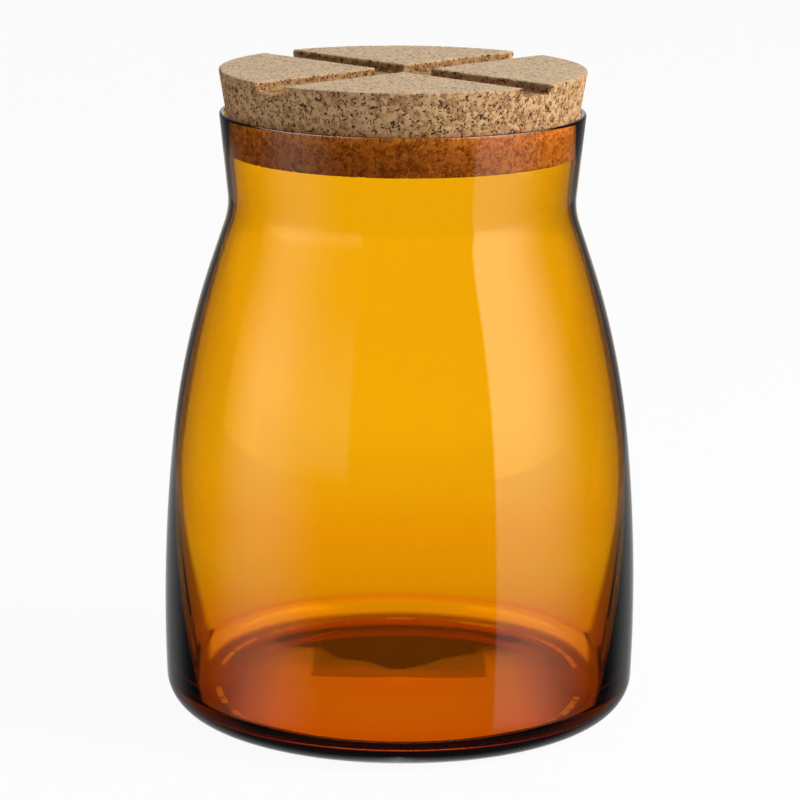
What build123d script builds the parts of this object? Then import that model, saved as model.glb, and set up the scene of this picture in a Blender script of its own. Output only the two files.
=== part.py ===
from build123d import *
from math import asin, cos, degrees, radians, sin, tan
import os

# Storage jar of blown glass, with a tapered cork lid pressed into its mouth.
# Millimetres, +Z up. The origin is on the jar's axis, on the surface that it stands on.
# A lean is the angle in degrees between a wall and the axis.

# Outside of the jar, from the standing ring up: round and straight runs, each tangent to the next
heel_curve = 11.4           # between the standing ring and the side
belly_radius = 75.15        # widest point
belly_height = 31.8
barrel_curve = 537.0        # long curve of the side
flank_lean = 6.12           # where that curve passes into the shoulder
shoulder_curve = 256.0
slope_lean = 18.67          # straight slope above the shoulder
slope_length = 13.7
waist_curve = 22.0          # drawn-in waist under the mouth
flare_lean = 5.55           # straight flare of the mouth
flare_length = 25.76

# Inside of the jar
wall = 1.65                 # slope, waist and mouth
wall_belly = 2.75           # beside the widest part of the hollow
hollow_curve = 278.0        # shoulder and side of the hollow
base_curve = 290.0          # hollow below its widest part
inner_heel_curve = 8.5      # between the inside wall and the floor
floor_level = 6.0           # inside floor above the standing plane
lip_rounding = 0.45 * wall  # both edges of the fire-polished lip

# Underside
ring_width = 4.0            # flat land that the jar stands on
punt_tilt = 3.3             # rise in degrees of the shallow cone inside that land
punt_curve = 70.0           # rounding of the cone's top

# Cork lid
lid_swell = 1.86            # top of the cork, wider than the mouth inside the lip by this
lid_above_lip = 13.4
lid_insertion = 12.6        # how deep the cork sits in the mouth
lid_clearance = 0.3         # between the cork and the mouth, all round
lid_edge = 0.5              # bevel of the upper edges
lid_foot_edge = 0.8         # bevel of the lower edge
channel_width = 12.0        # two crossing channels in the top
channel_depth = 3.0
channel_turn = 45.0         # degrees from the front to the first channel


def polar(centre, radius, angle):
    """Point at this distance and angle from the centre, in the section's plane."""
    return centre + Vector(radius, 0).rotate(Axis.Z, angle)


def round_run(centre, radius, start, end):
    """Arc between two angles."""
    angles = (start, (start + end) / 2, end)
    return ThreePointArc(*(polar(centre, radius, angle) for angle in angles))


def heel_round(centre, curve, level, radius):
    """Centre and top angle of the round that joins a level surface to a circle, from inside it."""
    drop = centre.Y - level - radius
    angle = -degrees(asin(drop / (curve - radius)))
    return polar(centre, curve - radius, angle), angle


# Section of the jar, with the radius along X and the height along Y
barrel_centre = Vector(belly_radius - barrel_curve, belly_height)
heel_centre, heel_angle = heel_round(barrel_centre, barrel_curve, 0, heel_curve)
shoulder_centre = polar(barrel_centre, barrel_curve - shoulder_curve, flank_lean)
slope_foot = polar(shoulder_centre, shoulder_curve, slope_lean)
slope_top = polar(slope_foot, slope_length, 90 + slope_lean)
waist_centre = polar(slope_top, waist_curve, slope_lean)
waist_start = 180 + slope_lean
waist_end = 180 - flare_lean
throat = polar(waist_centre, waist_curve, waist_end)
lip = polar(throat, flare_length, 90 - flare_lean)
mouth_edge = lip - Vector(wall / cos(radians(flare_lean)), 0)

# The hollow is tangent to the inside of the slope
hollow_radius = belly_radius - wall_belly
across = (slope_top.X - hollow_radius + hollow_curve) * cos(radians(slope_lean))
hollow_height = slope_top.Y - (hollow_curve + wall - across) / sin(radians(slope_lean))
hollow_centre = Vector(hollow_radius - hollow_curve, hollow_height)
base_centre = Vector(hollow_radius - base_curve, hollow_height)
floor_centre, floor_angle = heel_round(
    base_centre, base_curve, floor_level, inner_heel_curve
)


def mouth_radius(height):
    """Inside radius of the flare."""
    return mouth_edge.X - (mouth_edge.Y - height) * tan(radians(flare_lean))


def outside():
    """Outside of the glass, from the standing ring to the lip."""
    return [
        round_run(heel_centre, heel_curve, -90, heel_angle),
        round_run(barrel_centre, barrel_curve, heel_angle, flank_lean),
        round_run(shoulder_centre, shoulder_curve, flank_lean, slope_lean),
        Line(slope_foot, slope_top),
        round_run(waist_centre, waist_curve, waist_start, waist_end),
        Line(throat, lip),
    ]


def inside():
    """Inside of the glass, from the lip to the floor."""
    waist_outer_curve = waist_curve + wall
    return [
        Line(mouth_edge, polar(waist_centre, waist_outer_curve, waist_end)),
        round_run(waist_centre, waist_outer_curve, waist_end, waist_start),
        Line(
            polar(waist_centre, waist_outer_curve, waist_start),
            polar(hollow_centre, hollow_curve, slope_lean),
        ),
        round_run(hollow_centre, hollow_curve, slope_lean, 0),
        round_run(base_centre, base_curve, 0, floor_angle),
        round_run(floor_centre, inner_heel_curve, floor_angle, -90),
    ]


def underside():
    """Floor, punt and standing ring, from the hollow to the heel."""
    floor_edge = (floor_centre.X, floor_level)
    floor_middle = (0, floor_level)
    ring_inside = Vector(heel_centre.X - ring_width, 0)
    crown_radius = punt_curve * sin(radians(punt_tilt))
    crown_rise = (ring_inside.X - crown_radius) * tan(radians(punt_tilt))
    crown_centre = Vector(0, crown_rise - punt_curve * cos(radians(punt_tilt)))
    crown = round_run(crown_centre, punt_curve, 90, 90 - punt_tilt)
    return [
        Line(floor_edge, floor_middle),
        Line(floor_middle, crown @ 0),
        crown,
        Line(crown @ 1, ring_inside),
        Line(ring_inside, (heel_centre.X, 0)),
    ]


def glass_jar():
    """The jar, turned about its axis from its half section."""
    section = make_face(outside() + [Line(lip, mouth_edge)] + inside() + underside())
    for edge in (lip, mouth_edge):
        corner = section.vertices().sort_by_distance(edge)[0]
        section = fillet(corner, lip_rounding)
    return revolve(Plane.XZ * section, Axis.Z)


def cork_lid():
    """Tapered cork disc that follows the mouth's flare, with two channels across its top."""
    top = lip.Y + lid_above_lip
    foot = lip.Y - lid_insertion
    seat = lip.Y - lip_rounding
    section = Polyline(
        (0, foot),
        (mouth_radius(foot) - lid_clearance, foot),
        (mouth_radius(seat) - lid_clearance, seat),
        (mouth_edge.X + lid_swell, top),
        (0, top),
        close=True,
    )
    disc = revolve(Plane.XZ * make_face(section), Axis.Z)
    channel = Box(3 * lip.X, channel_width, 2 * channel_depth)
    for turn in (channel_turn, channel_turn + 90):
        disc -= Pos(0, 0, top) * Rot(0, 0, turn) * channel
    raised = disc.faces().filter_by(lambda face: abs(face.center().Z - top) < 0.001)
    disc = chamfer(raised.edges(), lid_edge)
    return chamfer(disc.faces().sort_by(Axis.Z)[0].edges(), lid_foot_edge)


def write_parts():
    """One STEP file for each piece."""
    os.makedirs("parts", exist_ok=True)
    export_step(glass_jar(), "parts/glass_jar.step")
    export_step(cork_lid(), "parts/cork_lid.step")


write_parts()
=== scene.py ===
import logging
from dataclasses import dataclass, field
from enum import Enum
from math import asin, cos, degrees, hypot, radians, sin, tan, tau

import bpy
from mathutils import Matrix, Vector, noise


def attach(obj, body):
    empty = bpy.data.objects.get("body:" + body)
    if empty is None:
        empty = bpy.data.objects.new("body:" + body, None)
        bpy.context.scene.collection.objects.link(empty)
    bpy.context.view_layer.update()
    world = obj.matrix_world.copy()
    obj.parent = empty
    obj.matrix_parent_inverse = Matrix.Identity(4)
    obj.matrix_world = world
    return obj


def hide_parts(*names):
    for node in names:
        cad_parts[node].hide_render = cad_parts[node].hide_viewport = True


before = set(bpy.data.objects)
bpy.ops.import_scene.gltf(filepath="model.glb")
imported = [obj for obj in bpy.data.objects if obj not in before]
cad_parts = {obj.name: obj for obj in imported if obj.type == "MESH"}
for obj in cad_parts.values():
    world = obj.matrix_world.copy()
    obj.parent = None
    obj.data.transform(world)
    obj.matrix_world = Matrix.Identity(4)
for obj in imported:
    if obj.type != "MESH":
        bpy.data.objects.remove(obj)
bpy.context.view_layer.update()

MM = 0.001

logging.basicConfig(level=logging.INFO, format="%(message)s")
log = logging.getLogger("jar")

Colour = tuple[float, float, float]
Change = tuple[float, float]  # where a gradual change starts, and where it ends
Place = tuple[float, float, float]
Socket = bpy.types.NodeSocket
Value = Socket | float | tuple[float, ...]
Inputs = dict[str | int, Value]


class Side(Enum):
    """Which wall of the glass a point of the section lies on."""

    OUTSIDE = 1
    INSIDE = -1


class Graph:
    """A node tree, with short methods that add linked nodes."""

    def __init__(self, tree: bpy.types.NodeTree) -> None:
        """Starts from an empty tree.

        Args:
            tree: The node tree to fill.
        """
        self.tree = tree
        tree.nodes.clear()

    def add(self, kind: str, inputs: Inputs | None = None, **settings: str | bool) -> bpy.types.Node:
        """Adds a node.

        Args:
            kind: The node's type name.
            inputs: Values or sockets for its inputs, by name or index.
            settings: Its own properties.

        Returns:
            The new node.
        """
        node = self.tree.nodes.new(kind)
        for name, value in settings.items():
            setattr(node, name, value)
        for key, value in (inputs or {}).items():
            self.feed(node.inputs[key], value)
        return node

    def feed(self, socket: Socket, value: Value) -> None:
        """Links a socket to an input, or sets the input's own value.

        Args:
            socket: The input.
            value: A socket, a number, or a tuple of numbers.
        """
        if isinstance(value, Socket):
            self.tree.links.new(value, socket)
        elif isinstance(value, tuple) and len(socket.default_value) > len(value):
            socket.default_value = (*value, 1)
        else:
            socket.default_value = value

    def math(self, operation: str, *values: Value) -> Socket:
        """A math node's result, from values or sockets."""
        return self.add("ShaderNodeMath", dict(enumerate(values)), operation=operation).outputs[0]

    def chain(self, operation: str, values: tuple[Value, ...]) -> Socket:
        """Applies a math operation from each value to the next one.

        Args:
            operation: The math node's operation.
            values: Numbers or sockets.

        Returns:
            The last result.
        """
        result = values[0]
        for value in values[1:]:
            result = self.math(operation, result, value)
        return result

    def product(self, *values: Value) -> Socket:
        """All the values multiplied together."""
        return self.chain("MULTIPLY", values)

    def total(self, *values: Value) -> Socket:
        """All the values added together."""
        return self.chain("ADD", values)

    def rest(self, share: Socket) -> Socket:
        """What a share leaves of 1."""
        return self.math("SUBTRACT", 1.0, share)

    def vector(self, operation: str, *values: Value) -> Socket:
        """A vector math node's vector result."""
        return self.add("ShaderNodeVectorMath", dict(enumerate(values)), operation=operation).outputs[0]

    def length(self, vector: Socket) -> Socket:
        """A vector's length."""
        return self.add("ShaderNodeVectorMath", {0: vector}, operation="LENGTH").outputs["Value"]

    def parts(self, vector: Socket) -> list[Socket]:
        """The three components of a vector or of a colour."""
        return list(self.add("ShaderNodeSeparateXYZ", {"Vector": vector}).outputs)

    def step(self, value: Socket, low: float, high: float) -> Socket:
        """A smooth step.

        Args:
            value: The socket that drives it.
            low: Where the result is 0.
            high: Where it is 1, which may be the smaller of the two.

        Returns:
            The result, from 0 to 1.
        """
        rising = low <= high
        inputs = {
            "Value": value,
            "From Min": min(low, high),
            "From Max": max(low, high),
            "To Min": 0.0 if rising else 1.0,
            "To Max": 1.0 if rising else 0.0,
        }
        node = self.add("ShaderNodeMapRange", inputs, interpolation_type="SMOOTHSTEP")
        return node.outputs["Result"]

    def line(self, value: Socket, change: Change, first: float, last: float) -> Socket:
        """An even change from one result to another.

        Args:
            value: The socket that drives it.
            change: The values where the change starts and ends.
            first: The result up to its start.
            last: The result from its end on.

        Returns:
            The result.
        """
        low, high = change
        inputs = {"Value": value, "From Min": low, "From Max": high, "To Min": first, "To Max": last}
        return self.add("ShaderNodeMapRange", inputs).outputs["Result"]

    def band(self, value: Socket, low: float, high: float, low_soft: float, high_soft: float) -> Socket:
        """1 between two values, and 0 outside them.

        Args:
            value: The socket that drives it.
            low: The lower value.
            high: The upper value.
            low_soft: Half of the smooth change at the lower one.
            high_soft: Half of the smooth change at the upper one.

        Returns:
            The result, from 0 to 1.
        """
        return self.product(
            self.step(value, low - low_soft, low + low_soft),
            self.step(value, high + high_soft, high - high_soft),
        )

    def mix(self, share: Value, first: Value, second: Value, blend: str = "MIX") -> Socket:
        """A mix of two colours.

        Args:
            share: How much of the second one, from 0 to 1.
            first: A colour or a socket.
            second: A colour or a socket.
            blend: How the second one is laid over the first.

        Returns:
            The colour socket.
        """
        node = self.add("ShaderNodeMix", data_type="RGBA", blend_type=blend, clamp_factor=True)
        for socket, value in zip((node.inputs[0], node.inputs[6], node.inputs[7]), (share, first, second)):
            self.feed(socket, value)
        return node.outputs[2]

    def blend(self, share: Socket, first: Socket, second: Socket) -> Socket:
        """A mix of two shaders."""
        return self.add("ShaderNodeMixShader", {0: share, 1: first, 2: second}).outputs[0]

    def ramp(self, value: Socket, places: tuple[float, ...], colours: tuple[Colour, ...]) -> Socket:
        """A colour ramp.

        Args:
            value: The socket that drives it.
            places: The places of the colours, from 0 to 1.
            colours: The colours.

        Returns:
            The colour socket.
        """
        node = self.add("ShaderNodeValToRGB", {"Fac": value})
        elements = node.color_ramp.elements
        for place in places[2:]:
            elements.new(place)
        for element, place, colour in zip(elements, places, colours):
            element.position = place
            element.color = (*colour, 1)
        return node.outputs["Color"]


def new_mesh_object(name: str, points: list[Place], faces: list[tuple[int, ...]]) -> bpy.types.Object:
    """A smooth-shaded mesh object in the scene.

    Args:
        name: The object's name.
        points: Its vertices, in metres.
        faces: Its faces, as tuples of vertex numbers.

    Returns:
        The new object.
    """
    mesh = bpy.data.meshes.new(name)
    mesh.from_pydata(points, [], faces)
    mesh.validate()
    mesh.polygons.foreach_set("use_smooth", [True] * len(mesh.polygons))
    mesh.update()
    piece = bpy.data.objects.new(name, mesh)
    bpy.context.scene.collection.objects.link(piece)
    return piece


def new_material(name: str) -> tuple[bpy.types.Material, Graph]:
    """An empty material.

    Args:
        name: The material's name.

    Returns:
        The material and the graph of its nodes.
    """
    made = bpy.data.materials.new(name)
    made.use_nodes = True
    return made, Graph(made.node_tree)


def bake_modifiers(piece: bpy.types.Object) -> None:
    """Turns what a piece's modifiers make into its own mesh.

    Args:
        piece: The piece.
    """
    bpy.context.view_layer.update()
    view = bpy.context.evaluated_depsgraph_get()
    baked = bpy.data.meshes.new_from_object(piece.evaluated_get(view))
    piece.modifiers.clear()
    piece.data = baked


def polar(centre: Vector, radius: float, angle: float) -> Vector:
    """Point at this distance and angle in degrees from the centre, in a section's plane."""
    return centre + radius * Vector((cos(radians(angle)), sin(radians(angle))))


def round_run(centre: Vector, radius: float, start: float, end: float, steps: int) -> list[Vector]:
    """Points along an arc between two angles in degrees, without its last one."""
    return [polar(centre, radius, start + (end - start) * i / steps) for i in range(steps)]


def straight_run(start: Vector, end: Vector, steps: int) -> list[Vector]:
    """Points along a straight line, without its last one."""
    return [start.lerp(end, i / steps) for i in range(steps)]


def turned(name: str, outline: list[Vector], segments: int) -> bpy.types.Object:
    """Turns an outline that starts and ends on the axis about it.

    Args:
        name: The object's name.
        outline: Radius and height of each point, from axis to axis.
        segments: How many stretches go round.

    Returns:
        The closed object.
    """
    rings = outline[1:-1]
    points = [(0, 0, outline[0].y), (0, 0, outline[-1].y)]
    for ring in rings:
        for i in range(segments):
            turn = tau * i / segments
            points.append((ring.x * cos(turn), ring.x * sin(turn), ring.y))
    faces = []
    last = 2 + (len(rings) - 1) * segments
    for i in range(segments):
        j = (i + 1) % segments
        faces.append((0, 2 + i, 2 + j))
        faces.append((1, last + j, last + i))
        for k in range(len(rings) - 1):
            low, high = 2 + k * segments, 2 + (k + 1) * segments
            faces.append((low + i, high + i, high + j, low + j))
    return new_mesh_object(name, points, faces)


@dataclass(frozen=True)
class AmberGlass:
    """Clear amber glass, tinted at its skin and deeper through its thickness."""

    skin: Colour = (0.98, 0.785, 0.30)
    tint: Colour = (0.9625, 0.875, 0.0)
    depth: float = 1200.0
    refraction: float = 1.5

    def material(self) -> bpy.types.Material:
        """The glass, with most of its colour in its volume.

        Returns:
            The material.
        """
        made, graph = new_material("amber_glass")
        surface = graph.add("ShaderNodeBsdfPrincipled", {
            "Base Color": self.skin,
            "Roughness": 0.0,
            "IOR": self.refraction,
            "Transmission Weight": 1.0,
        })
        volume = graph.add("ShaderNodeVolumeAbsorption", {
            "Color": self.tint,
            "Density": self.depth,
        })
        graph.add("ShaderNodeOutputMaterial", {
            "Surface": surface.outputs[0],
            "Volume": volume.outputs[0],
        })
        return made


@dataclass(frozen=True)
class GranulatedCork:
    """Pressed cork granules, with dark crevices between them and bark flecks among them."""

    # Granules of two sizes, with the bends of their outlines measured in granules
    granule: float = 1.7 * MM
    crumb: float = 0.7 * MM
    coarse_share: float = 0.6
    bend: float = 0.9
    bend_length: float = 0.7
    brown: Colour = (0.38, 0.185, 0.08)
    fawn: Colour = (0.62, 0.36, 0.165)
    pale: Colour = (0.76, 0.485, 0.25)
    tone_places: tuple[float, float, float] = (0.15, 0.45, 0.85)

    # Crevices between granules, open only in clouds whose length is in granules
    crevice: Change = (0.11, 0.05)
    crevice_length: float = 0.9
    crevice_clouds: Change = (0.53, 0.60)

    # Flecks of bark, in loose clouds whose length is in flecks
    speck: float = 0.6 * MM
    speck_share: float = 0.24
    speck_length: float = 5.0
    speck_clouds: Change = (0.38, 0.62)
    dark: Colour = (0.04, 0.016, 0.008)
    pit_shade: float = 0.92

    # Paler upper face, where the pits show less, by depth below the top and by how far the cork faces up
    top_tone: Colour = (0.70, 0.58, 0.42)
    top_tone_share: float = 0.60
    top_tone_depth: Change = (1.0 * MM, 0.4 * MM)
    top_tone_facing: Change = (0.5, 0.9)
    top_pit_shade: float = 0.60

    # Painted shade in the channels: their colour darkened, by depth below the top and distance in from the
    # edge
    channel_shade: Colour = (0.66, 0.62, 0.56)
    channel_shade_depth: Change = (0.4 * MM, 0.8 * MM)
    channel_shade_inset: Change = (2.0 * MM, 3.0 * MM)

    # Cork squeezed by the mouth, where the pits show less
    squeezed_share: float = 0.62
    squeeze_run: float = 1.0 * MM

    cloud_detail: float = 2.0
    roughness: float = 0.9
    shine: float = 0.2

    def cells(self, graph: Graph, place: Socket, size: float, feature: str = "F1") -> bpy.types.Node:
        """A pattern of cells of this size round the place."""
        return graph.add("ShaderNodeTexVoronoi", {"Vector": place, "Scale": 1 / size}, feature=feature)

    def clouds(self, graph: Graph, place: Socket, size: float) -> bpy.types.Node:
        """Soft noise with features of this size."""
        inputs = {"Vector": place, "Scale": 1 / size, "Detail": self.cloud_detail}
        return graph.add("ShaderNodeTexNoise", inputs)

    def pits(self, graph: Graph, place: Socket) -> tuple[Socket, Socket]:
        """Crevices and specks in space, read alike by the shape and by the finish.

        Args:
            graph: The node tree of the shape or of the finish.
            place: The point in the lid's own frame, in metres.

        Returns:
            The bent place that the granules follow, and how deep a pit lies there, from 0 to 1.
        """
        warp = self.clouds(graph, place, self.bend_length * self.granule).outputs["Color"]
        shift = graph.vector("SUBTRACT", warp, (0.5, 0.5, 0.5))
        bent = graph.vector("MULTIPLY_ADD", shift, (self.bend * self.granule,) * 3, place)
        edge = self.cells(graph, bent, self.granule, "DISTANCE_TO_EDGE").outputs["Distance"]
        open_places = self.clouds(graph, place, self.crevice_length * self.granule).outputs[0]
        crevice = graph.product(
            graph.step(edge, *self.crevice),
            graph.step(open_places, *self.crevice_clouds),
        )
        kind = graph.parts(self.cells(graph, bent, self.speck).outputs["Color"])[1]
        rich_places = self.clouds(graph, place, self.speck_length * self.speck).outputs[0]
        share = graph.product(graph.step(rich_places, *self.speck_clouds), self.speck_share)
        speck = graph.math("LESS_THAN", kind, share)
        return bent, graph.math("MAXIMUM", crevice, speck)

    def material(self, top: float, rim: float, lip: float) -> bpy.types.Material:
        """The cork's finish, paler on the lid's upper face and with painted shade in the channels.

        Args:
            top: Height of the upper face.
            rim: Radius of its edge.
            lip: Height of the jar's lip, below which the cork is squeezed.

        Returns:
            The material.
        """
        made, graph = new_material("cork")
        place = graph.add("ShaderNodeTexCoord").outputs["Object"]
        height = graph.parts(place)[2]
        upward = graph.parts(graph.add("ShaderNodeNewGeometry").outputs["Normal"])[2]
        reach = graph.length(graph.vector("MULTIPLY", place, (1.0, 1.0, 0.0)))

        bent, pit = self.pits(graph, place)
        coarse = graph.parts(self.cells(graph, bent, self.granule).outputs["Color"])[0]
        fine = graph.parts(self.cells(graph, bent, self.crumb).outputs["Color"])[0]
        tone = graph.total(
            graph.product(coarse, self.coarse_share),
            graph.product(fine, 1 - self.coarse_share),
        )
        colour = graph.ramp(tone, self.tone_places, (self.brown, self.fawn, self.pale))

        top_depth_start, top_depth_end = self.top_tone_depth
        # Paler colour on the upper face, where the pits show less
        on_top = graph.product(
            graph.step(height, top - top_depth_start, top - top_depth_end),
            graph.step(upward, *self.top_tone_facing),
        )
        colour = graph.mix(graph.product(on_top, self.top_tone_share), colour, self.top_tone)
        depth_start, depth_end = self.channel_shade_depth
        inset_start, inset_end = self.channel_shade_inset
        # Painted shade: the channels' colour darkened where they sink below the top
        cut = graph.product(
            graph.step(reach, rim - inset_start, rim - inset_end),
            graph.step(height, top - depth_start, top - depth_end),
        )
        colour = graph.mix(cut, colour, self.channel_shade, "MULTIPLY")
        shade = graph.product(
            pit,
            graph.line(on_top, (0.0, 1.0), self.pit_shade, self.top_pit_shade),
            graph.line(height, (lip - self.squeeze_run, lip), self.squeezed_share, 1.0),
        )
        colour = graph.mix(shade, colour, self.dark)
        surface = graph.add("ShaderNodeBsdfPrincipled", {
            "Base Color": colour,
            "Roughness": self.roughness,
            "Specular IOR Level": self.shine,
        })
        graph.add("ShaderNodeOutputMaterial", {"Surface": surface.outputs[0]})
        return made


@dataclass
class GlassJar:
    """The blown jar: a barrel with a shoulder, a waist and a flared mouth, hollow inside."""

    heel_curve: float = 11.4 * MM
    belly_radius: float = 75.15 * MM
    belly_height: float = 31.8 * MM
    barrel_curve: float = 537.0 * MM
    flank_lean: float = 6.12
    shoulder_curve: float = 256.0 * MM
    slope_lean: float = 18.67
    slope_length: float = 13.7 * MM
    waist_curve: float = 22.0 * MM
    flare_lean: float = 5.55
    flare_length: float = 25.76 * MM
    wall: float = 1.65 * MM
    wall_belly: float = 2.75 * MM
    hollow_curve: float = 278.0 * MM
    base_curve: float = 290.0 * MM
    inner_heel_curve: float = 5.5 * MM
    floor_level: float = 6.0 * MM
    ring_width: float = 4.0 * MM
    punt_tilt: float = 4.3
    punt_curve: float = 40.0 * MM
    lip_share: float = 0.45  # of the wall, for the rounding of each edge of the lip

    # Slow ripple of the underside, which leaves out what lies above its top
    ripple: float = 0.10 * MM
    ripple_length: float = 17.0 * MM
    ripple_top: float = 4.2 * MM

    # How many stretches the runs of the section are cut into, and the whole turn
    straight_steps: int = 2
    floor_steps: int = 6
    inner_heel_steps: int = 20
    base_steps: int = 8
    barrel_steps: int = 18
    shoulder_steps: int = 14
    waist_steps: int = 10
    lip_steps: int = 8
    heel_steps: int = 24
    punt_steps: int = 16
    crown_steps: int = 4
    segments: int = 480

    finish: AmberGlass = field(default_factory=AmberGlass)

    def __post_init__(self) -> None:
        """Works out the centres and the corners that the runs share."""
        self.lip_rounding = self.lip_share * self.wall
        self.barrel_centre = Vector((self.belly_radius - self.barrel_curve, self.belly_height))
        self.heel_centre, self.heel_angle = self.heel_round(
            self.barrel_centre, self.barrel_curve, 0, self.heel_curve)
        self.ring_inside = self.heel_centre.x - self.ring_width
        self.shoulder_centre = polar(
            self.barrel_centre, self.barrel_curve - self.shoulder_curve, self.flank_lean)
        self.slope_foot = polar(self.shoulder_centre, self.shoulder_curve, self.slope_lean)
        self.slope_top = polar(self.slope_foot, self.slope_length, 90 + self.slope_lean)
        self.waist_centre = polar(self.slope_top, self.waist_curve, self.slope_lean)
        self.waist_start, self.waist_end = 180 + self.slope_lean, 180 - self.flare_lean
        self.throat = polar(self.waist_centre, self.waist_curve, self.waist_end)
        self.lip = polar(self.throat, self.flare_length, 90 - self.flare_lean)
        self.mouth_edge = self.lip - Vector((self.wall / cos(radians(self.flare_lean)), 0))
        hollow_radius = self.belly_radius - self.wall_belly
        lean = radians(self.slope_lean)
        across = (self.slope_top.x - hollow_radius + self.hollow_curve) * cos(lean)
        height = self.slope_top.y - (self.hollow_curve + self.wall - across) / sin(lean)
        self.hollow_centre = Vector((hollow_radius - self.hollow_curve, height))
        self.base_centre = Vector((hollow_radius - self.base_curve, height))
        self.floor_centre, self.floor_angle = self.heel_round(
            self.base_centre, self.base_curve, self.floor_level, self.inner_heel_curve)

    @staticmethod
    def heel_round(centre: Vector, curve: float, level: float, radius: float) -> tuple[Vector, float]:
        """The round that joins a level surface to a circle, from inside the circle.

        Args:
            centre: The circle's centre.
            curve: The circle's radius.
            level: Height of the level surface.
            radius: Radius of the round.

        Returns:
            The round's centre, and the angle in degrees where it meets the circle.
        """
        angle = -degrees(asin((centre.y - level - radius) / (curve - radius)))
        return polar(centre, curve - radius, angle), angle

    def inside(self) -> list[Vector]:
        """Inside of the glass.

        Returns:
            Its points, from the centre of the floor to the lip.
        """
        floor_middle = Vector((0, self.floor_level))
        floor_edge = Vector((self.floor_centre.x, self.floor_level))
        hollow_top = polar(self.hollow_centre, self.hollow_curve, self.slope_lean)
        curve = self.waist_curve + self.wall
        waist_foot = polar(self.waist_centre, curve, self.waist_start)
        waist_top = polar(self.waist_centre, curve, self.waist_end)
        heel, base, hollow = self.inner_heel_curve, self.base_curve, self.hollow_curve
        return [
            *straight_run(floor_middle, floor_edge, self.floor_steps),
            *round_run(self.floor_centre, heel, -90, self.floor_angle, self.inner_heel_steps),
            *round_run(self.base_centre, base, self.floor_angle, 0, self.base_steps),
            *round_run(self.hollow_centre, hollow, 0, self.slope_lean, self.barrel_steps),
            *straight_run(hollow_top, waist_foot, self.straight_steps),
            *round_run(self.waist_centre, curve, self.waist_start, self.waist_end, self.waist_steps),
            *straight_run(waist_top, self.lip_round(Side.INSIDE)[0], self.straight_steps),
        ]

    def lip_round(self, side: Side) -> list[Vector]:
        """The lip's rounding on one side.

        Args:
            side: Which side of the glass it lies on.

        Returns:
            Its points, from the wall to the level top.
        """
        corner = self.lip if side is Side.OUTSIDE else self.mouth_edge
        first = -side.value * self.flare_lean
        along = self.lip_rounding / tan(radians(45 - first / 2))
        centre = corner - Vector((side.value * along, self.lip_rounding))
        turns = [radians(first + (90 - first) * i / self.lip_steps) for i in range(self.lip_steps + 1)]
        return [
            centre + self.lip_rounding * Vector((side.value * cos(turn), sin(turn)))
            for turn in turns
        ]

    def outside(self) -> list[Vector]:
        """Outside of the glass.

        Returns:
            Its points, from the lip to the standing ring.
        """
        waist, shoulder, barrel = self.waist_curve, self.shoulder_curve, self.barrel_curve
        return [
            *straight_run(self.lip_round(Side.OUTSIDE)[0], self.throat, self.straight_steps),
            *round_run(self.waist_centre, waist, self.waist_end, self.waist_start, self.waist_steps),
            *straight_run(self.slope_top, self.slope_foot, self.straight_steps),
            *round_run(
                self.shoulder_centre, shoulder, self.slope_lean, self.flank_lean, self.shoulder_steps),
            *round_run(self.barrel_centre, barrel, self.flank_lean, self.heel_angle, self.barrel_steps),
            *round_run(self.heel_centre, self.heel_curve, self.heel_angle, -90, self.heel_steps),
        ]

    def underside(self) -> list[Vector]:
        """The standing ring and the shallow punt inside it.

        Returns:
            Its points, from the heel to the axis.
        """
        edge = Vector((self.ring_inside, 0))
        tilt = radians(self.punt_tilt)
        crown_radius = self.punt_curve * sin(tilt)
        crown_foot = Vector((crown_radius, (edge.x - crown_radius) * tan(tilt)))
        centre = Vector((0, crown_foot.y - self.punt_curve * cos(tilt)))
        return [
            *straight_run(Vector((self.heel_centre.x, 0)), edge, self.straight_steps),
            *straight_run(edge, crown_foot, self.punt_steps),
            *round_run(centre, self.punt_curve, 90 - self.punt_tilt, 90, self.crown_steps),
            centre + Vector((0, self.punt_curve)),
        ]

    def wave(self, jar: bpy.types.Object) -> None:
        """Gives the underside the slow ripple of glass that cooled in its mould.

        Args:
            jar: The turned jar.
        """
        for vertex in jar.data.vertices:
            reach = hypot(vertex.co.x, vertex.co.y)
            if reach < self.ring_inside and vertex.co.z < self.ripple_top:
                share = min(1.0, (self.ring_inside - reach) / self.ripple_length)
                place = Vector((vertex.co.x, vertex.co.y, 0)) / self.ripple_length
                vertex.co.z += self.ripple * share * noise.noise(place)

    def build(self) -> bpy.types.Object:
        """Builds the jar, in place of the plain glass.

        Returns:
            The jar.
        """
        lip = [*self.lip_round(Side.INSIDE), *reversed(self.lip_round(Side.OUTSIDE)[1:])]
        outline = [*self.inside(), *lip, *self.outside(), *self.underside()]
        jar = turned("jar_glass", outline, self.segments)
        self.wave(jar)
        jar.data.materials.append(self.finish.material())
        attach(jar, "jar")
        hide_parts("glass_jar")
        return jar


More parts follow.
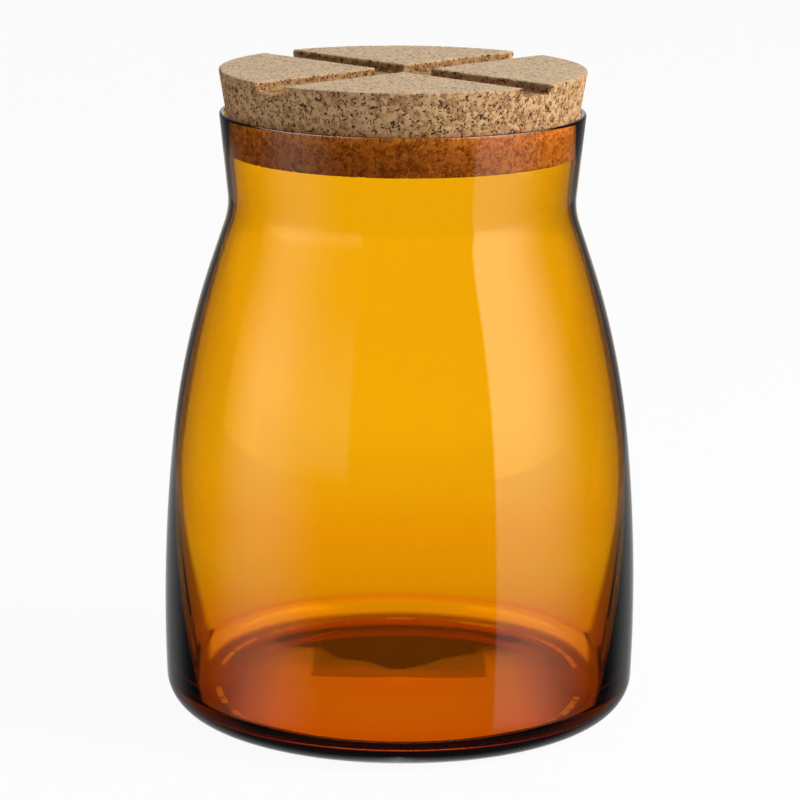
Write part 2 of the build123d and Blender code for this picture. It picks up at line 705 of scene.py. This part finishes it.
@dataclass
class CorkLid:
    """Tapered cork disc with two crossing channels in its top."""

    clearance: float = 0.3 * MM
    channel_width: float = 12.0 * MM
    channel_depth: float = 3.0 * MM
    channel_turn: float = 45.0
    above_lip: float = 13.4 * MM
    insertion: float = 12.6 * MM
    top_radius: float = 57.35 * MM
    grain_step: float = 0.6 * MM
    pit_depth: float = 0.25 * MM
    segments: int = 256
    finish: GranulatedCork = field(default_factory=GranulatedCork)

    def blank(self, jar: GlassJar) -> bpy.types.Object:
        """The plain disc, turned to the taper of the mouth.

        Args:
            jar: The jar whose mouth it fits.

        Returns:
            The disc.
        """
        lip = jar.lip.y
        seat_radius = jar.mouth_edge.x - self.clearance
        foot_radius = seat_radius - self.insertion * tan(radians(jar.flare_lean))
        outline = [
            Vector((0, lip - self.insertion)),
            Vector((foot_radius, lip - self.insertion)),
            Vector((seat_radius, lip)),
            Vector((self.top_radius, lip + self.above_lip)),
            Vector((0, lip + self.above_lip)),
        ]
        return turned("cork_lid_grained", outline, self.segments)

    def cut_channel(self, lid: bpy.types.Object, turn: float, top: float) -> None:
        """Cuts one straight channel across the top.

        Args:
            lid: The disc.
            turn: Direction of the channel, in degrees from the X axis.
            top: Height of the disc's top.
        """
        bpy.ops.mesh.primitive_cube_add(size=1)
        bar = bpy.context.object
        bar.scale = (3 * self.top_radius, self.channel_width, 2 * self.channel_depth)
        bar.rotation_euler.z = radians(turn)
        bar.location.z = top
        cut = lid.modifiers.new("channel", "BOOLEAN")
        cut.operation = "DIFFERENCE"
        cut.solver = "EXACT"
        cut.object = bar
        bake_modifiers(lid)
        bpy.data.objects.remove(bar)

    def sinking(self) -> bpy.types.NodeTree:
        """The nodes that sink the crevices and specks into a surface.

        Returns:
            The node tree, for a modifier.
        """
        tree = bpy.data.node_groups.new("cork_pits", "GeometryNodeTree")
        for way in ("INPUT", "OUTPUT"):
            tree.interface.new_socket("Geometry", in_out=way, socket_type="NodeSocketGeometry")
        graph = Graph(tree)
        source = graph.add("NodeGroupInput").outputs[0]
        place = graph.add("GeometryNodeInputPosition").outputs[0]
        normal = graph.add("GeometryNodeInputNormal").outputs[0]
        sunk = graph.product(self.finish.pits(graph, place)[1], -self.pit_depth)
        depth = graph.add("ShaderNodeCombineXYZ", {axis: sunk for axis in range(3)}).outputs[0]
        moved = graph.add("GeometryNodeSetPosition", {
            "Geometry": source,
            "Offset": graph.vector("MULTIPLY", normal, depth),
        })
        graph.add("NodeGroupOutput", {0: moved.outputs[0]})
        return tree

    def pit(self, lid: bpy.types.Object) -> None:
        """Gives the surface its grain.

        Args:
            lid: The cut disc.
        """
        grid = lid.modifiers.new("grid", "REMESH")
        grid.mode = "VOXEL"
        grid.voxel_size = self.grain_step
        grid.use_smooth_shade = True
        sink = lid.modifiers.new("pits", "NODES")
        sink.node_group = self.sinking()
        bake_modifiers(lid)

    def build(self, jar: GlassJar) -> bpy.types.Object:
        """Builds the lid, in place of the plain cork.

        Args:
            jar: The jar whose mouth it fits.

        Returns:
            The finished lid.
        """
        lid = self.blank(jar)
        top = jar.lip.y + self.above_lip
        for turn in (self.channel_turn, self.channel_turn + 90):
            self.cut_channel(lid, turn, top)
        self.pit(lid)
        lid.data.materials.clear()
        lid.data.materials.append(self.finish.material(top, self.top_radius, jar.lip.y))
        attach(lid, "lid")
        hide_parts("cork_lid")
        return lid


@dataclass(frozen=True)
class Panel:
    """A bright field on the sweep behind the jar, as its glass shows it, in degrees."""

    azimuth: float
    half_width: float = 12.6
    side_soft: float = 1.0
    low: float = -42.0
    high: float = 6.0
    soft: float = 5.0
    level: float = 1.12

    def glow(self, graph: Graph, azimuth: Socket, rise: Socket) -> Socket:
        """Its light by direction.

        Args:
            graph: The world's nodes.
            azimuth: Degrees from the far side, towards the right.
            rise: Degrees above the horizon.

        Returns:
            The socket of its strength.
        """
        turned_away = graph.math("WRAP", graph.math("SUBTRACT", azimuth, self.azimuth), 180.0, -180.0)
        off = graph.math("ABSOLUTE", turned_away)
        across = graph.step(off, self.half_width + self.side_soft, self.half_width - self.side_soft)
        tall = graph.band(rise, self.low, self.high, self.soft, self.soft)
        return graph.product(across, tall, self.level)


@dataclass(frozen=True)
class SoftBox:
    """A tall soft box beside the jar, as its glass shows it, in degrees."""

    start: float
    end: float
    start_soft: float
    end_soft: float
    level: float
    low: float = -23.0
    low_soft: float = 2.0
    high: float = 60.0
    high_soft: float = 3.0
    foot_share: float = 0.38
    foot_climb: Change = (-14.0, 5.0)

    def glow(self, graph: Graph, azimuth: Socket, rise: Socket) -> Socket:
        """Its light by direction, weaker at the foot.

        Args:
            graph: The world's nodes.
            azimuth: Degrees from the near side, towards the right.
            rise: Degrees above the horizon.

        Returns:
            The socket of its strength.
        """
        across = graph.band(azimuth, self.start, self.end, self.start_soft, self.end_soft)
        tall = graph.band(rise, self.low, self.high, self.low_soft, self.high_soft)
        climb = graph.product(graph.step(rise, *self.foot_climb), 1 - self.foot_share)
        return graph.product(across, tall, graph.total(self.foot_share, climb), self.level)


def direct(graph: Graph, kind: str) -> Socket:
    """Picks the rays of one kind that no matt surface has scattered yet.

    Args:
        graph: The nodes of the world or of a material.
        kind: The Light Path output of that kind.

    Returns:
        The socket, 1 for such rays.
    """
    rays = graph.add("ShaderNodeLightPath").outputs
    unscattered = graph.math("LESS_THAN", rays["Diffuse Depth"], 0.5)
    return graph.product(rays[kind], unscattered)


@dataclass(frozen=True)
class Surroundings:
    """White sweep, bright fields behind the jar, dark sides and soft boxes beside it.

    Directions and their changes are in degrees, apart from the inner sides, which go by the
    sideways part of a direction, from -1 to 1.
    """

    # Seen through the glass: dark sides, and a warm wall above the horizon with brighter wings
    dark: float = 0.09
    wall: float = 0.80
    wall_rise: Change = (2.0, 7.0)
    wings: float = 0.45
    wings_off: Change = (11.0, 17.0)
    warmth: Colour = (1.0, 0.80, 0.40)
    table_tint: Colour = (1.0, 1.3, 1.0)
    table_tint_rise: Change = (-17.5, -21.5)

    # Mirrored by the glass: dim room, sweep, ceiling, table and low wall
    room: float = 0.02
    sweep_fade: float = 12.0
    ceiling: float = 0.8
    ceiling_rise: Change = (32.0, 50.0)
    table: float = 0.045
    table_rise: Change = (-26.0, -34.0)
    low_wall: float = 0.16
    low_wall_off: Change = (58.0, 34.0)
    low_wall_rise: Change = (-11.0, -12.0)

    # Soft light on the cork, and how many times as strong it comes through the glass
    shade: float = 0.26
    from_above: float = 0.11
    inner: float = 1.3
    inner_right: float = 46.0
    inner_right_side: Change = (0.35, 0.95)
    inner_left: float = 7.5
    inner_left_side: Change = (-0.2, -0.9)
    inner_tint: Colour = (1.0, 1.08, 100.0)

    white: Colour = (1.0, 1.0, 1.0)

    def panels(self) -> list[Panel]:
        """The bright fields, one for each side that the jar is looked at from.

        Returns:
            The fields.
        """
        return [
            Panel(azimuth=0.0),
            Panel(azimuth=-45.0, low=-34.0, high=-22.0, soft=2.0),
            Panel(azimuth=-90.0, low=-12.0, high=8.0),
            Panel(azimuth=135.0, low=-24.0, high=-8.0),
            Panel(azimuth=180.0, low=-30.0, high=-5.0),
        ]

    def boxes(self) -> list[SoftBox]:
        """The soft boxes: one on the right, two on the left, and one above each side.

        Returns:
            The soft boxes.
        """
        return [
            SoftBox(start=47.4, end=86.0, start_soft=1.0, end_soft=22.0, level=2.4),
            SoftBox(start=-90.0, end=-54.0, start_soft=16.0, end_soft=18.0, level=1.55,
                    high=22.0, high_soft=15.0),
            SoftBox(start=-50.0, end=-26.0, start_soft=10.0, end_soft=2.0, level=0.5,
                    low=-1.0, high=18.0, high_soft=10.0, foot_share=1.0),
            SoftBox(start=-140.0, end=-50.0, start_soft=10.0, end_soft=20.0, level=4.0,
                    low=36.0, high=75.0),
            SoftBox(start=60.0, end=140.0, start_soft=10.0, end_soft=10.0, level=4.0,
                    low=36.0, high=75.0),
        ]

    def through(self, graph: Graph, behind: Socket, front: Socket, rise: Socket) -> Socket:
        """What is seen through the glass, by direction.

        Args:
            graph: The world's nodes.
            behind: Degrees from the far side, towards the right.
            front: Degrees from the near side, towards the right.
            rise: Degrees above the horizon.

        Returns:
            The socket of its strength.
        """
        beside = graph.step(graph.math("ABSOLUTE", behind), *self.wings_off)
        level = graph.total(self.wall, graph.product(beside, self.wings))
        wall = graph.product(graph.step(rise, *self.wall_rise), level)
        warm = graph.mix(1.0, wall, self.warmth, "MULTIPLY")
        glows = [panel.glow(graph, behind, rise) for panel in self.panels()]
        glows += [box.glow(graph, front, rise) for box in self.boxes()]
        light = graph.vector("ADD", warm, graph.total(self.dark, *glows))
        return graph.mix(graph.step(rise, *self.table_tint_rise), light, self.table_tint, "MULTIPLY")

    def mirrored(self, graph: Graph, azimuth: Socket, rise: Socket) -> Socket:
        """What the glass mirrors, by direction.

        Args:
            graph: The world's nodes.
            azimuth: Degrees from the near side, towards the right.
            rise: Degrees above the horizon.

        Returns:
            The socket of its strength.
        """
        off = graph.math("SUBTRACT", 180.0, graph.math("ABSOLUTE", azimuth))
        sweep = graph.math("EXPONENT", graph.product(off, -1 / self.sweep_fade))
        ceiling = graph.product(graph.step(rise, *self.ceiling_rise), self.ceiling)
        table = graph.product(graph.step(rise, *self.table_rise), self.table)
        low_wall = graph.product(
            graph.step(off, *self.low_wall_off),
            graph.step(rise, *self.low_wall_rise),
            self.low_wall,
        )
        glows = [box.glow(graph, azimuth, rise) for box in self.boxes()]
        return graph.total(self.room, sweep, ceiling, table, low_wall, *glows)

    def build(self) -> None:
        """Makes the world, which each kind of ray sees in its own way."""
        made = bpy.data.worlds.new("studio")
        bpy.context.scene.world = made
        made.use_nodes = True
        graph = Graph(made.node_tree)
        x, y, z = graph.parts(graph.add("ShaderNodeTexCoord").outputs["Generated"])
        rise = graph.math("DEGREES", graph.math("ARCSINE", z))
        behind = graph.math("DEGREES", graph.math("ARCTAN2", x, y))
        front = graph.math("DEGREES", graph.math("ARCTAN2", x, graph.product(y, -1.0)))

        soft = graph.total(self.shade, graph.product(z, self.from_above))
        right = graph.product(graph.step(x, *self.inner_right_side), self.inner_right)
        left = graph.product(graph.step(x, *self.inner_left_side), self.inner_left)
        inner = graph.product(soft, graph.total(self.inner, left, right))
        inner = graph.mix(1.0, inner, self.inner_tint, "MULTIPLY")

        rays = graph.add("ShaderNodeLightPath").outputs
        seen = graph.mix(rays["Is Transmission Ray"], soft, inner)
        seen = graph.mix(direct(graph, "Is Glossy Ray"), seen, self.mirrored(graph, front, rise))
        seen = graph.mix(
            direct(graph, "Is Transmission Ray"), seen, self.through(graph, behind, front, rise))
        seen = graph.mix(rays["Is Camera Ray"], seen, self.white)
        light = graph.add("ShaderNodeBackground", {"Color": seen})
        graph.add("ShaderNodeOutputWorld", {"Surface": light.outputs[0]})


@dataclass(frozen=True)
class Floor:
    """The pale floor, which keeps a faint shadow and, only through the glass, shows painted amber light
    and painted shadow.

    Its places are measured from the jar's axis: across to both sides, and along to the back.
    """

    half_side: float = 3.0
    paint: Colour = (0.85, 0.85, 0.85)
    white: Colour = (1.0, 1.0, 1.0)
    white_share: float = 0.94

    # Painted pool of amber light under the jar, inside its standing ring, which only the glass shows
    pool_inset: Change = (1.8 * MM, 3.2 * MM)
    pool_sides: Change = (38 * MM, 58 * MM)
    pool_side_level: float = 0.22
    pool_front: Change = (-45 * MM, -5 * MM)
    pool_front_level: float = 1.15
    pool_level: float = 0.87
    pool_back: Change = (30 * MM, 50 * MM)
    pool_back_level: float = 0.5
    pool_middle: Colour = (1.0, 0.50, 0.35)
    pool_rim: Colour = (0.93, 0.83, 0.35)
    pool_reach: Change = (10 * MM, 38 * MM)

    # Painted shadow, darker within that painted light
    shadow_half_width: float = 29.3 * MM
    shadow_edge: float = 1 * MM
    shadow_front: Change = (1.5 * MM, 3.5 * MM)
    shadow_back: Change = (54 * MM, 50 * MM)
    shadow_depth: float = 0.78

    # Painted light beside the jar, in a strip that widens to the back
    widening: float = 0.2
    strip_edge: Change = (75.5 * MM, 72.5 * MM)
    strip_front: Change = (-55 * MM, 0.0)
    strip_climb: Change = (15 * MM, 45 * MM)
    strip_level: float = 0.38
    strip_back_level: float = 0.57

    # Behind the jar the sweep shows instead of the floor
    sweep_gap: Change = (1 * MM, 7 * MM)
    sweep_front: Change = (8 * MM, 16 * MM)
    sweep_edge: Change = (67 * MM, 62 * MM)

    def pool(self, graph: Graph, aside: Socket, along: Socket, reach: Socket, ring: float) -> Socket:
        """The painted light under the jar, with a painted shadow in it.

        Args:
            graph: The floor's nodes.
            aside: Distance to either side.
            along: Distance to the back.
            reach: Distance from the axis.
            ring: Radius of the jar's standing ring.

        Returns:
            The socket of its strength.
        """
        half, edge = self.shadow_half_width, self.shadow_edge
        # Painted shadow: a dark field in the painted light
        shadow_patch = graph.product(
            graph.step(aside, half + edge, half - edge),
            graph.step(along, *self.shadow_front),
            graph.step(along, *self.shadow_back),
        )
        inset_start, inset_end = self.pool_inset
        # Painted pool of amber light, seen only through the glass
        return graph.product(
            graph.step(reach, ring - inset_start, ring - inset_end),
            graph.line(aside, self.pool_sides, 1.0, self.pool_side_level),
            graph.line(along, self.pool_front, self.pool_front_level, self.pool_level),
            graph.line(along, self.pool_back, 1.0, self.pool_back_level),
            graph.rest(graph.product(shadow_patch, self.shadow_depth)),
        )

    def below(self, graph: Graph, ring: float) -> Socket:
        """What the glass shows where the floor lies: painted light and painted shadow, and the sweep
        beyond them.

        Args:
            graph: The floor's nodes.
            ring: Radius of the jar's standing ring.

        Returns:
            The shader socket.
        """
        place = graph.add("ShaderNodeTexCoord").outputs["Object"]
        across, along, _ = graph.parts(place)
        aside = graph.math("ABSOLUTE", across)
        reach = graph.length(place)
        spread = graph.math("SUBTRACT", aside, graph.product(along, self.widening))
        # Painted strip of light beside the jar, seen only through the glass
        strip = graph.product(
            graph.step(spread, *self.strip_edge),
            graph.step(along, *self.strip_front),
            graph.line(along, self.strip_climb, self.strip_level, self.strip_back_level),
        )
        tone = graph.mix(graph.line(reach, self.pool_reach, 0.0, 1.0), self.pool_middle, self.pool_rim)
        strength = graph.math("MAXIMUM", self.pool(graph, aside, along, reach, ring), strip)
        # The painted light glows only for rays through the glass
        lit = graph.add("ShaderNodeEmission", {"Color": tone, "Strength": strength}).outputs[0]
        clear = graph.add("ShaderNodeBsdfTransparent").outputs[0]
        gap_start, gap_end = self.sweep_gap
        away = graph.product(
            graph.step(reach, ring + gap_start, ring + gap_end),
            graph.step(along, *self.sweep_front),
            graph.step(spread, *self.sweep_edge),
        )
        return graph.blend(away, lit, clear)

    def material(self, ring: float) -> bpy.types.Material:
        """The floor's finish.

        Args:
            ring: Radius of the jar's standing ring.

        Returns:
            The material.
        """
        made, graph = new_material("white_floor")
        matt = graph.add("ShaderNodeBsdfDiffuse", {"Color": self.paint}).outputs[0]
        glow = graph.add("ShaderNodeEmission", {"Color": self.white, "Strength": 1.0}).outputs[0]
        camera = graph.add("ShaderNodeLightPath").outputs["Is Camera Ray"]
        seen = graph.blend(graph.product(camera, self.white_share), matt, glow)
        # Rays through the glass see the painted light and painted shadow here
        both = graph.blend(direct(graph, "Is Transmission Ray"), seen, self.below(graph, ring))
        graph.add("ShaderNodeOutputMaterial", {"Surface": both})
        return made

    def build(self, jar: GlassJar) -> bpy.types.Object:
        """Lays the floor under the jar.

        Args:
            jar: The jar that stands on it.

        Returns:
            The floor.
        """
        edge = self.half_side
        points = [(-edge, -edge, 0), (edge, -edge, 0), (edge, edge, 0), (-edge, edge, 0)]
        floor = new_mesh_object("floor", points, [(0, 1, 2, 3)])
        floor.data.materials.append(self.material(jar.heel_centre.x))
        floor.visible_glossy = False
        return floor


@dataclass(frozen=True)
class KeyLamp:
    """A soft square lamp aimed at the jar, which lights the cork and shows in no reflection."""

    place: Place = (1.25, -0.35, 1.05)
    aim_height: float = 0.15
    size: float = 0.6
    power: float = 22.0

    def build(self) -> bpy.types.Object:
        """Hangs the lamp.

        Returns:
            The lamp.
        """
        data = bpy.data.lights.new("key", "AREA")
        data.size = self.size
        data.energy = self.power
        lamp = bpy.data.objects.new("key", data)
        lamp.location = self.place
        aim = Vector((0, 0, self.aim_height)) - lamp.location
        lamp.rotation_euler = aim.to_track_quat("-Z", "Y").to_euler()
        lamp.visible_camera = False
        lamp.visible_glossy = False
        lamp.visible_transmission = False
        bpy.context.scene.collection.objects.link(lamp)
        return lamp


@dataclass
class Studio:
    """The stage round the jar."""

    surroundings: Surroundings = field(default_factory=Surroundings)
    floor: Floor = field(default_factory=Floor)
    lamp: KeyLamp = field(default_factory=KeyLamp)

    def build(self, jar: GlassJar) -> bpy.types.Object:
        """Sets the stage.

        Args:
            jar: The jar that stands on it.

        Returns:
            The floor.
        """
        self.surroundings.build()
        floor = self.floor.build(jar)
        self.lamp.build()
        bpy.context.scene.view_settings.view_transform = "Standard"
        return floor


@dataclass
class PhotoCamera:
    """The photograph's viewpoint."""

    distance: float = 1057.83 * MM
    height: float = 342.32 * MM
    sideways: float = -0.25 * MM
    pitch: float = 12.953
    roll: float = 0.41
    lens: float = 153.77
    sensor: float = 36.0

    def build(self) -> bpy.types.Object:
        """Adds the camera and makes it the scene's own.

        Returns:
            The camera.
        """
        data = bpy.data.cameras.new("camera")
        data.lens = self.lens
        data.sensor_width = self.sensor
        camera = bpy.data.objects.new("camera", data)
        tilt = Matrix.Rotation(radians(90 - self.pitch), 4, "X")
        roll = Matrix.Rotation(radians(self.roll), 4, "Z")
        place = Matrix.Translation((self.sideways, -self.distance, self.height))
        camera.matrix_world = place @ (tilt @ roll)
        bpy.context.scene.collection.objects.link(camera)
        bpy.context.scene.camera = camera
        return camera


def report(piece: bpy.types.Object) -> None:
    """Logs a piece's name and how many faces it has."""
    log.info("built %s, %d faces", piece.name, len(piece.data.polygons))


def main() -> None:
    """Builds the camera, the jar, the lid and the studio, in that order, and reports each piece."""
    PhotoCamera().build()
    jar = GlassJar()
    report(jar.build())
    report(CorkLid().build(jar))
    report(Studio().build(jar))


if __name__ == "__main__":
    main()
